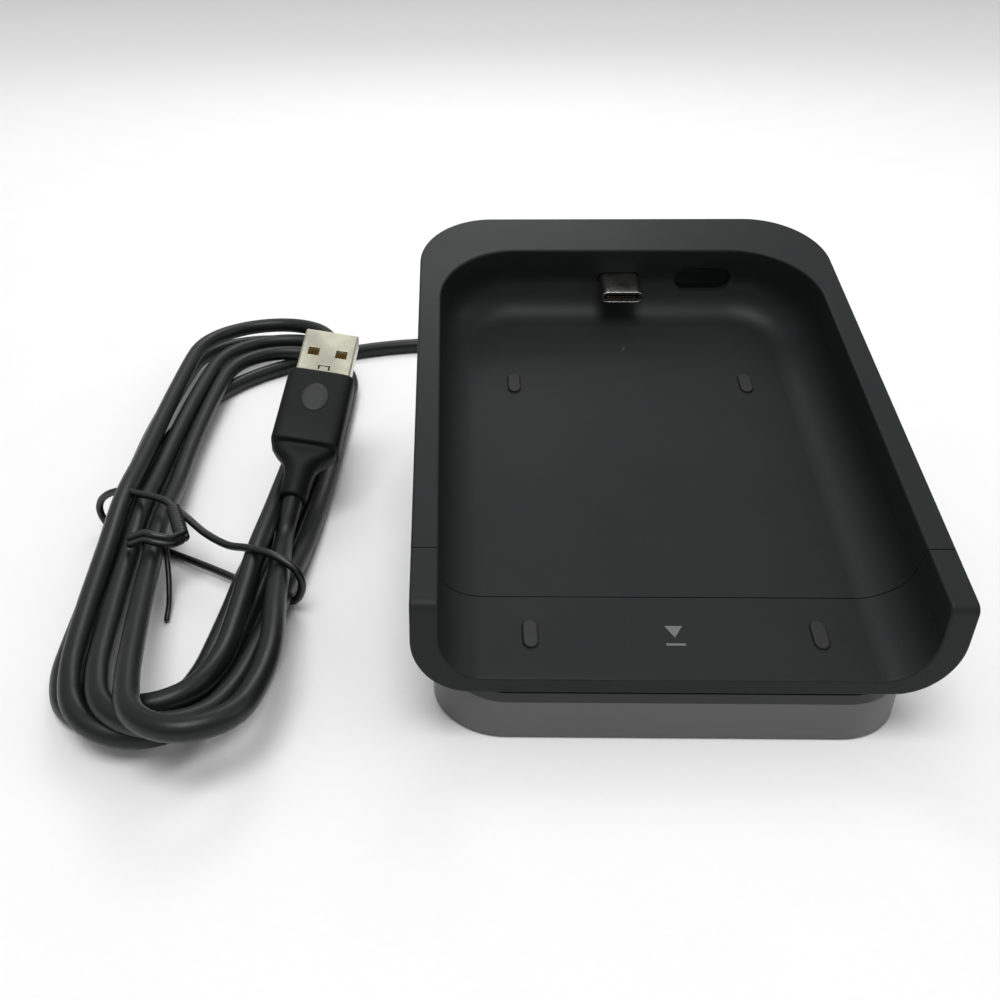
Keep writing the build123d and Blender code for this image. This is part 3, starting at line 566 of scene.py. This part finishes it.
@dataclass
class StrainRelief:
    """The ribbed rubber relief where the lead leaves the base's back wall.

    It is a profile turned about the cord's axis: the flange inside the wall, a neck through it, a
    flange outside, and a taper whose radius dips at each groove.
    """

    wall: float = 2.2
    inner_flange: float = 1.5
    outer_flange: float = 1.2
    flange_radius: float = 4.5
    neck_radius: float = 3.3
    tip_radius: float = 2.6
    grooves: int = 5
    groove_depth: float = 0.45
    edge: float = 0.3
    tip_edge: float = 0.4
    rings: int = 90                                 # along the taper
    groove_width: float = 1.6                       # a groove's wave is this high before it's cut
    fade: float = 0.3                               # power by which grooves fade at the ends
    around: int = 48

    def build(self, exit_point: np.ndarray, length: float) -> bpy.types.Object:
        """The turned piece.

        A groove's depth is a sine along the taper, cut off level at top and bottom, times a half
        wave that takes it to nothing at both ends of the taper.

        Args:
            exit_point: where the cord leaves the relief's tip.
            length: from the wall's outer face to the tip.

        Returns:
            The relief, in place of the CAD one.
        """
        taper = np.linspace(self.outer_flange, length - self.tip_edge, self.rings)
        share = (taper - self.outer_flange) / (length - self.outer_flange)
        waves = np.sin(2 * pi * self.grooves * share - pi / 2)
        waves = (np.clip(self.groove_width * waves, -1, 1) + 1) / 2
        dips = self.groove_depth * waves * np.sin(pi * share) ** self.fade
        radii = self.neck_radius + (self.tip_radius - self.neck_radius) * share - dips
        profile = [*self.flange(-self.wall - self.inner_flange, -self.wall),
                   (-self.wall, self.neck_radius), (0.0, self.neck_radius),
                   *self.flange(0.0, self.outer_flange),
                   *zip(taper, radii), (length, self.tip_radius - self.tip_edge)]
        along, reach = np.array(profile).T
        turn = np.linspace(0, 2 * pi, self.around, endpoint=False)
        wall_y = exit_point[1] - length
        rings = np.stack([exit_point[0] + reach[:, None] * np.cos(turn)[None],
                          np.broadcast_to((wall_y + along)[:, None], (len(along), self.around)),
                          exit_point[2] - reach[:, None] * np.sin(turn)[None]], axis=-1)
        made = piece("strain_relief", loft(rings), "rubber")
        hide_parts("cord_strain_relief")
        return made

    def flange(self, start: float, stop: float) -> list[tuple[float, float]]:
        """Profile of a flange from start to stop along the axis, with a chamfer at each edge."""
        low = self.flange_radius - self.edge
        return [(start, low), (start + self.edge, self.flange_radius),
                (stop - self.edge, self.flange_radius), (stop, low)]


@dataclass
class CoiledLead:
    """The captive lead: one cord from the relief, down to the table, round a hank and to the plug.

    Each pass of the hank is an oval, walked anticlockwise in even steps: a round end at the back,
    two bowed sides and a smaller round end at the front. The ovals' middles, radii, bows and
    heights change from pass to pass, so that the strands lie beside and over each other. The first
    points are the route that the CAD lead follows. A pass counts as one turn.
    """

    diameter: float = 4.0
    lead: tuple[Point, ...] = (
        (0.0, 60.0, 11.0), (0.0, 72.0, 11.0), (-1.5, 87.0, 5.4), (-7.0, 101.5, 2.1),
        (-18.0, 112.7, 2.1), (-32.0, 118.2, 2.1), (-47.0, 117.4, 2.1), (-61.5, 112.8, 2.1),
        (-74.0, 106.0, 2.1), (-85.0, 98.0, 2.1), (-94.0, 87.5, 2.1), (-99.8, 74.5, 2.1),
        (-102.6, 60.0, 2.1))
    back: tuple[Point, ...] = (                    # x, y and radius of the back ends
        (-84.5, 97.0, 20.0), (-88.0, 98.0, 19.6), (-86.0, 94.0, 19.6), (-82.0, 90.4, 18.4),
        (-78.0, 86.6, 17.4), (-78.3, 88.0, 17.6))
    front: tuple[Point, ...] = (                   # x, y and radius of the front ends
        (-87.9, -36.4, 11.6), (-83.4, -38.4, 11.6), (-83.0, -41.8, 11.0), (-80.8, -44.6, 10.6),
        (-73.4, -49.8, 9.8))
    left_bow: tuple[float, ...] = (2.0, 3.2, 2.6, 4.0, 3.6)
    right_bow: tuple[float, ...] = (0.5, 0.5, 0.8, 1.8, 0.4)
    height_back: tuple[float, ...] = (2.1, 2.6, 5.6, 5.2, 3.0)
    height_left: tuple[float, ...] = (2.1, 2.3, 5.6, 5.4, 3.0)
    height_front: tuple[float, ...] = (2.1, 4.2, 5.2, 6.8, 9.4)
    height_right: tuple[float, ...] = (2.1, 5.6, 2.1, 2.1, 8.6)
    tail: tuple[Point, ...] = (
        (-65.0, -24.0, 8.2), (-66.0, -14.0, 7.0), (-67.0, -5.0, 6.1), (-67.8, 1.2, 5.7),
        (-67.7, 5.9, 6.68), (-66.75, 12.4, 10.25))
    first_turn: float = 0.22
    last_turn: float = 4.74
    per_turn: int = 40
    lead_joins_y: float = 50.0                      # the lead meets the first pass ahead of this
    tail_leaves_y: float = -30.0                    # the tail leaves the last pass behind this
    tie_middle: tuple[float, float] = (-84.5, -0.4)
    tie_turn: float = radians(32.0)
    tie_lift: float = 1.5
    tie_reach: float = 9.0
    table_gap: float = 0.1
    settling_steps: int = 150
    fixed_start: int = 11                           # points of the lead that don't settle
    fixed_end: int = 3                              # points under the plug that don't settle
    neighbours: int = 3                             # runs either side that may be near
    push_shares: Point = (0.35, 0.35, 1.7)          # mostly upwards
    push_rate: float = 0.35
    largest_move: float = 0.6
    spread: float = 0.2
    slackening: float = 0.995

    def oval(self, turn: float) -> Point:
        """The point at a number of turns round the hank.

        Ends are quarter circles, and sides are straight with a parabola's bow. Middles, radii and
        bows run evenly from one pass's values to the next one's.

        Args:
            turn: how many turns in, counted from the middle of the first back end.

        Returns:
            The point's x, y and z.
        """
        def between(values: tuple, start: float) -> float:
            """One measure at this turn, from a value for each pass."""
            return np.interp(turn, np.arange(len(values)) + start, values)

        back = [between(column, 0) for column in zip(*self.back)]
        front = [between(column, 0.5) for column in zip(*self.front)]
        left_bow, right_bow = between(self.left_bow, 0.25), between(self.right_bow, 0.75)
        side = back[1] - front[1]
        back_quarter, front_quarter = pi * back[2] / 2, pi * front[2] / 2
        whole = 2 * (back_quarter + front_quarter + side)
        walked = turn % 1 * whole
        front_start = back_quarter + side
        front_end = front_start + 2 * front_quarter
        if walked < back_quarter:
            angle = walked / back[2]
            x, y = back[0] - back[2] * np.sin(angle), back[1] + back[2] * np.cos(angle)
        elif walked < front_start:
            share = (walked - back_quarter) / side
            left_back, left_front = back[0] - back[2], front[0] - front[2]
            x = left_back + share * (left_front - left_back) - 4 * share * (1 - share) * left_bow
            y = back[1] - share * side
        elif walked < front_end:
            angle = (walked - front_start) / front[2]
            x, y = front[0] - front[2] * np.cos(angle), front[1] - front[2] * np.sin(angle)
        elif walked < front_end + side:
            share = (walked - front_end) / side
            right_back, right_front = back[0] + back[2], front[0] + front[2]
            x = (right_front + share * (right_back - right_front)
                 + 4 * share * (1 - share) * right_bow)
            y = front[1] + share * side
        else:
            angle = (whole - walked) / back[2]
            x, y = back[0] + back[2] * np.sin(angle), back[1] + back[2] * np.cos(angle)
        return x, y, self.height(turn) + self.lift(x, y)

    def height(self, turn: float) -> float:
        """Height of the strand at a turn, from the four heights of its pass."""
        heights = [value for row in zip(self.height_back, self.height_left, self.height_front,
                                        self.height_right) for value in row]
        return float(np.interp(turn, np.arange(len(heights)) / 4, heights))

    def lift(self, x: float, y: float) -> float:
        """How far the tie heaps the strands up, falling off with the distance from its line."""
        off = ((y - self.tie_middle[1]) * np.cos(self.tie_turn)
               + (x - self.tie_middle[0]) * np.sin(self.tie_turn))
        return self.tie_lift * np.exp(-((off / self.tie_reach) ** 2))

    def route(self) -> np.ndarray:
        """The control points: the lead, the hank's passes and the tail up to the plug.

        Returns:
            The points after settling, shaped (points, 3).
        """
        first, last = round(self.first_turn * self.per_turn), round(self.last_turn * self.per_turn)
        points = list(self.lead)
        for turn in np.arange(first, last + 1) / self.per_turn:
            x, y, z = self.oval(turn)
            on_lead = turn < 0.5 and y >= self.lead_joins_y
            on_tail = turn >= 4.5 and y >= self.tail_leaves_y
            if not on_lead and not on_tail:
                points.append((x, y, z))
        return self.settled(np.array([*points, *self.tail]))

    def settled(self, start: np.ndarray) -> np.ndarray:
        """Strands pushed apart where they would lie inside each other.

        Each control point is compared with each run of the route that isn't its neighbour. Where
        they are nearer than the diameter, they move apart along the gap between them, mostly
        upwards, and the moves are spread along the cord. The lead and the last points stay.

        Args:
            start: the control points as laid out.

        Returns:
            The control points as they settle.
        """
        shift = np.zeros_like(start)
        index = np.arange(len(start))
        apart = np.abs(index[:, None] - (index[None, :-1] + 0.5)) > self.neighbours
        free = np.ones((len(start), 1))
        free[:self.fixed_start] = 0
        free[-self.fixed_end:] = 0
        floor = self.diameter / 2 + self.table_gap
        for _ in range(self.settling_steps):
            here = start + shift
            runs = here[1:] - here[:-1]
            offset = here[:, None] - here[None, :-1]
            along = np.clip((offset * runs[None]).sum(2) / (runs**2).sum(1)[None], 0, 1)
            gap = offset - along[..., None] * runs[None]
            distance = np.linalg.norm(gap, axis=2)
            near = apart & (distance < self.diameter)
            rate = (self.diameter - distance) / np.maximum(distance, 1e-6) * self.push_rate
            push = np.where(near, rate, 0)[..., None] * gap * np.array(self.push_shares)
            move = push.sum(1)
            move[:-1] -= (push * (1 - along[..., None])).sum(0)
            move[1:] -= (push * along[..., None]).sum(0)
            shift += np.clip(move, -self.largest_move, self.largest_move) * free
            for _ in range(2):
                shift[1:-1] = (shift[1:-1] * (1 - 2 * self.spread)
                               + self.spread * (shift[:-2] + shift[2:]))
                shift *= free
            shift[:, 2] = np.maximum(start[:, 2] + shift[:, 2], floor) - start[:, 2]
            shift[:, 2] *= self.slackening
        return start + shift

    def build(self) -> bpy.types.Object:
        """The cord as one open curve with a round section.

        Returns:
            The cord, in place of the CAD lead and coil.
        """
        points = self.route()
        curve = bpy.data.curves.new("supply_lead", "CURVE")
        curve.dimensions = "3D"
        curve.bevel_depth = self.diameter / 2 * MM
        curve.bevel_resolution = 5
        curve.use_fill_caps = True
        curve.resolution_u = 5
        spline = curve.splines.new("NURBS")
        spline.points.add(len(points) - 1)
        weighted = np.hstack([points * MM, np.ones((len(points), 1))])
        spline.points.foreach_set("co", weighted.ravel())
        spline.order_u = 3
        spline.use_endpoint_u = True
        curve.materials.append(material_named("cord_jacket"))
        made = bpy.data.objects.new("supply_lead", curve)
        bpy.context.scene.collection.objects.link(made)
        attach(made, "dock")
        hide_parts("cord_lead", "cord_coil")
        log.info("piece supply_lead: %d points, %.0f mm", len(points), self.length(points))
        return made

    @staticmethod
    def length(points: np.ndarray) -> float:
        """Length of the cord: at each point a parabola runs from one run's middle to the next's.

        Args:
            points: the control points.

        Returns:
            The length in the points' own unit.
        """
        middles = np.vstack([points[:1], (points[1:-2] + points[2:-1]) / 2, points[-1:]])
        t = np.linspace(0, 1, 9)[None, :, None]
        curve = ((1 - t) ** 2 * middles[:-1, None] + 2 * t * (1 - t) * points[1:-1, None]
                 + t**2 * middles[1:, None])
        return float(np.linalg.norm(np.diff(curve, axis=1), axis=2).sum())


@dataclass
class UsbPlug:
    """The USB-A plug's moulding: a flat body, a step behind it and a waisted neck to the cord.

    Rings lie square to the plug's axis, each a rounded outline, at stations behind the mouth. The
    body's front edge follows a quarter circle.
    """

    roll: float = radians(-8.8)
    bare: float = 12.0                              # metal that shows in front of the body
    half_width: float = 7.3
    half_height: float = 4.0
    front_edge: float = 0.9
    body_power: float = 6.0                         # of the body's outline
    around: int = 72
    badge: tuple[float, float] = (2.9, 3.6)         # half sizes across and along the plug
    badge_proud: float = 0.12
    badge_sunk: float = 0.3
    badge_behind: float = 7.6
    leaf_x: float = 3.1
    leaf_size: tuple[float, float] = (1.5, 1.4)     # half sizes across and along the plug
    leaf_behind: float = 6.0
    leaf_lift: float = 1.15                         # above the plug's middle plane
    leaf_rib: float = 0.22                          # half a rib's height
    leaf_ribs: float = 3.5
    leaf_thickness: float = 0.4
    # place behind the body's front, half width, half height and the outline's power
    stations: tuple[tuple[float, float, float, float], ...] = (
        (1.2, 7.3, 4.0, 6.0), (10.0, 7.3, 4.0, 6.0), (18.4, 7.3, 4.0, 6.0), (18.85, 7.2, 3.9, 6.0),
        (19.0, 6.9, 3.6, 5.0), (19.0, 6.7, 3.0, 4.0), (19.5, 6.7, 2.9, 4.0), (20.2, 6.5, 2.95, 3.6),
        (21.0, 5.9, 3.0, 3.2), (22.0, 4.9, 3.05, 2.8), (23.0, 4.0, 3.05, 2.4),
        (24.0, 3.4, 3.0, 2.2), (25.5, 3.05, 2.95, 2.0), (28.0, 2.95, 2.9, 2.0),
        (30.8, 2.9, 2.9, 2.0), (31.2, 2.75, 2.75, 2.0), (31.3, 2.1, 2.1, 2.0))

    def frame_at(self, mount: dict) -> tuple[np.ndarray, ...]:
        """Where the plug lies, from the record's mount and the roll.

        Args:
            mount: the record's mount at the plug's mouth.

        Returns:
            The mouth's middle, and the ways across, up and out of it.
        """
        mouth = np.array(mount["pos_m"]) / MM
        out = unit(np.array(mount["axis"]))
        yaw = atan2(out[0], out[1])
        level = np.array([np.cos(yaw), -np.sin(yaw), 0.0])
        above = np.cross(level, out)
        side = level * np.cos(self.roll) + above * np.sin(self.roll)
        return mouth, side, np.cross(side, out), out

    def build(self, mount: dict) -> list[bpy.types.Object]:
        """The moulding, its badge and the spring leaves behind the windows.

        Args:
            mount: the record's mount at the plug's mouth.

        Returns:
            The three pieces.
        """
        place = self.frame_at(mount)
        mouth, side, up, out = place
        bends = np.linspace(0, pi / 2, 6)[:-1]
        behind = self.front_edge * (1 - np.sin(bends))
        inset = self.front_edge * (1 - np.cos(bends))
        front = [(at, self.half_width - less, self.half_height - less, self.body_power)
                 for at, less in zip(behind[::-1], inset[::-1])]
        rings = np.array([mouth - out * (self.bare + at)
                          + rounded(width, height, power, self.around) @ np.array([side, up])
                          for at, width, height, power in (*front, *self.stations)])
        moulding = piece("plug_moulding", loft(rings[:, ::-1]), "usb_a_overmould")
        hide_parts("usb_a_body", "usb_a_neck")
        return [moulding, self.build_badge(*place), self.build_leaves(*place)]

    def build_badge(self, mouth: np.ndarray, side: np.ndarray, up: np.ndarray,
                    out: np.ndarray) -> bpy.types.Object:
        """A plain oval badge: rings of an ellipse that rise to a flat face over a short slope.

        Args:
            mouth: the middle of the plug's mouth.
            side: the way across the plug.
            up: the way out of its upper face.
            out: the way out of its mouth.

        Returns:
            The badge.
        """
        half_x, half_y = self.badge
        centre = mouth - out * (self.bare + self.badge_behind) + up * self.half_height
        levels = ((1.0, -self.badge_sunk), (1.0, self.badge_proud * 0.5),
                  (0.96, self.badge_proud), (0.5, self.badge_proud), (0.1, self.badge_proud))
        rings = np.array([centre + up * rise + rounded(half_x * share, half_y * share, 2.0, 48)
                          @ np.array([side, -out]) for share, rise in levels])
        return piece("plug_badge", loft(rings), "usb_a_badge")

    def build_leaves(self, mouth: np.ndarray, side: np.ndarray, up: np.ndarray,
                     out: np.ndarray) -> bpy.types.Object:
        """Ribbed brass leaves under both windows: plates whose upper side is a cosine across.

        Args:
            mouth: the middle of the plug's mouth.
            side: the way across the plug.
            up: the way out of its upper face.
            out: the way out of its mouth.

        Returns:
            The two leaves as one piece.
        """
        half_x, half_y = self.leaf_size
        across = np.linspace(-half_x, half_x, 41)
        crest = self.leaf_rib * np.cos(across / half_x * pi * self.leaf_ribs)
        corners = ((-half_y, 1), (half_y, 1), (half_y, 0), (-half_y, 0))
        middle = mouth - out * self.leaf_behind + up * self.leaf_lift
        parts = []
        for centre in (middle - side * self.leaf_x, middle + side * self.leaf_x):
            parts.append(loft(np.array([
                [centre + side * x - out * y + up * (rise if top else -self.leaf_thickness)
                 for y, top in corners] for x, rise in zip(across, crest)])))
        return piece("plug_leaves", joined(parts), "leaf_brass")


@dataclass
class TwistTie:
    """The covered wire round the hank: a loop over and under both bundles, a twist and its ends."""

    radius: float = 0.75
    loop: tuple[Point, ...] = (
        (-89.2, 3.2, 11.6), (-92.0, 5.6, 12.2), (-97.5, 8.6, 11.8), (-103.0, 11.6, 10.8),
        (-107.3, 13.6, 8.0), (-108.6, 14.0, 4.6), (-106.4, 12.6, 1.6), (-100.0, 9.0, 0.9),
        (-92.0, 4.0, 0.9), (-84.0, -1.6, 1.6), (-77.0, -6.0, 1.6), (-69.0, -10.6, 0.9),
        (-64.0, -14.2, 2.0), (-61.9, -15.4, 6.0), (-63.0, -15.0, 9.6), (-67.5, -12.8, 11.4),
        (-72.5, -9.8, 10.8), (-77.0, -6.6, 9.4), (-82.0, -2.8, 9.6), (-86.0, 0.4, 11.0),
        (-88.6, 2.4, 11.9))
    twist: tuple[Point, Point] = ((-89.2, 2.6, 11.9), (-85.9, -5.2, 10.2))
    twist_turns: float = 5.5
    twist_reach: float = 0.95                       # of the wire's radius, so the wires touch
    doubled: tuple[Point, ...] = ((-85.9, -5.2, 10.2), (-87.2, -7.6, 10.9), (-89.8, -8.0, 11.5),
                                  (-92.2, -7.4, 11.7), (-94.8, -7.8, 11.0))
    doubled_above: Point = (0.0, 0.0, 0.75)
    doubled_below: Point = (0.0, -0.675, -0.3)
    end: tuple[Point, ...] = ((-89.2, -5.6, 8.4), (-88.2, -9.6, 4.4), (-87.4, -14.0, 1.6),
                              (-86.8, -18.5, 0.8))
    end_share: float = 0.7                          # of the wire's radius, where it is bare

    def strand(self, phase: float) -> np.ndarray:
        """One of the two twisted wires: a screw line about the twist's straight axis.

        Args:
            phase: where round the axis it starts, in radians.

        Returns:
            The wire's points.
        """
        start, stop = np.array(self.twist[0]), np.array(self.twist[1])
        way = unit(stop - start)
        first = unit(np.cross(way, (0.0, 0.0, 1.0)))
        second = np.cross(way, first)
        share = np.linspace(0, 1, 90)[:, None]
        turn = 2 * pi * self.twist_turns * share + phase
        around = first * np.cos(turn) + second * np.sin(turn)
        return start + share * (stop - start) + self.radius * self.twist_reach * around

    def build(self) -> bpy.types.Object:
        """All of the tie as one piece.

        Returns:
            The tie, in place of the CAD one.
        """
        doubled = smooth_path(np.array(self.doubled))
        paths = [smooth_path(np.array(self.loop)), self.strand(0.0), self.strand(pi),
                 doubled + self.doubled_above, doubled + self.doubled_below]
        skins = [tube(path, np.full(len(path), self.radius)) for path in paths]
        end = smooth_path(np.array(self.end))
        skins.append(tube(end, np.full(len(end), self.end_share * self.radius)))
        made = piece("wire_tie", joined(skins), "tie_plastic")
        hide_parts("twist_tie")
        return made


@dataclass(frozen=True)
class SoftLight:
    """A square soft light that faces a point: its places in metres, and its power in watts."""

    name: str
    place: Point
    target: Point
    size: float
    power: float

    def build(self) -> None:
        """The light, turned so that its back points away from its target."""
        data = bpy.data.lights.new(self.name, "AREA")
        data.size = self.size
        data.energy = self.power
        made = bpy.data.objects.new(self.name, data)
        bpy.context.scene.collection.objects.link(made)
        away = unit(np.array(self.place) - np.array(self.target))
        side = unit(np.cross((0.0, 1.0, 0.01), away))
        made.matrix_world = placed(self.place, side, np.cross(away, side), away)


@dataclass
class Studio:
    """Pale table, soft lights and the camera."""

    table_size: float = 6.0
    camera_place: Point = (-0.03557, -0.1611, 0.1085)
    right: Point = (0.9998, 0.0173, -0.0063)
    down: Point = (0.0032, -0.4995, -0.8663)
    ahead: Point = (-0.0181, 0.8661, -0.4995)
    lens: float = 34.92
    shift_x: float = 0.0715
    horizon: float = 0.22
    zenith: float = 0.75
    lights: tuple[SoftLight, ...] = (
        SoftLight("overhead", (-0.2, -0.7, 2.6), (-0.03, 0.8, 0.0), 1.4, 38.0),
        SoftLight("rear", (-0.02, 0.62, 0.62), (-0.02, 0.0, 0.0), 0.35, 1.3),
        SoftLight("side", (0.75, -0.1, 0.45), (-0.03, 0.0, 0.0), 0.4, 0.6))

    def build_table(self) -> None:
        """A flat square under the dock."""
        half = self.table_size / 2
        mesh = bpy.data.meshes.new("table")
        corners = [(-half, -half, 0), (half, -half, 0), (half, half, 0), (-half, half, 0)]
        mesh.from_pydata(corners, [], [(0, 1, 2, 3)])
        mesh.materials.append(material_named("table"))
        made = bpy.data.objects.new("table", mesh)
        bpy.context.scene.collection.objects.link(made)

    def build_world(self) -> None:
        """A white surround, bright overhead and dim at the horizon."""
        world = bpy.data.worlds.new("surround")
        world.use_nodes = True
        tree = world.node_tree
        way = tree.nodes.new("ShaderNodeTexCoord")
        parts = tree.nodes.new("ShaderNodeSeparateXYZ")
        ramp = tree.nodes.new("ShaderNodeValToRGB")
        ramp.color_ramp.elements[0].color = (*(self.horizon,) * 3, 1.0)
        ramp.color_ramp.elements[1].color = (*(self.zenith,) * 3, 1.0)
        tree.links.new(way.outputs["Generated"], parts.inputs[0])
        tree.links.new(parts.outputs["Z"], ramp.inputs["Fac"])
        tree.links.new(ramp.outputs["Color"], tree.nodes["Background"].inputs["Color"])
        bpy.context.scene.world = world

    def build_camera(self) -> None:
        """The camera, from its place and its three ways."""
        data = bpy.data.cameras.new("camera")
        data.lens = self.lens
        data.sensor_width = 36.0
        data.shift_x = self.shift_x
        data.clip_start = 0.01
        made = bpy.data.objects.new("camera", data)
        bpy.context.scene.collection.objects.link(made)
        made.matrix_world = placed(self.camera_place, self.right, -np.array(self.down),
                                   -np.array(self.ahead))
        bpy.context.scene.camera = made

    def build(self) -> None:
        """Everything round the object, shown with a plain display curve."""
        bpy.context.scene.view_settings.view_transform = "Standard"
        self.build_table()
        self.build_world()
        for light in self.lights:
            light.build()
        self.build_camera()


def main() -> None:
    """Builds the pieces in order."""
    logging.basicConfig(level=logging.INFO, format="%(message)s")
    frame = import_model()
    mounts = {mount["name"]: mount for mount in frame["record"]["mounts"]}
    Studio().build()
    Dock().dress(frame["nodes"])
    lead = CoiledLead()
    exit_point = np.array(lead.lead[0])
    base_high = np.array(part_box("base_shell")[1]) / MM
    StrainRelief().build(exit_point, exit_point[1] - base_high[1])
    cord = lead.build()
    plug = UsbPlug().build(mounts["supply_plug"])
    tie = TwistTie().build()
    CoiledLead.length(lead.route()) * MM


if __name__ == "__main__":
    main()
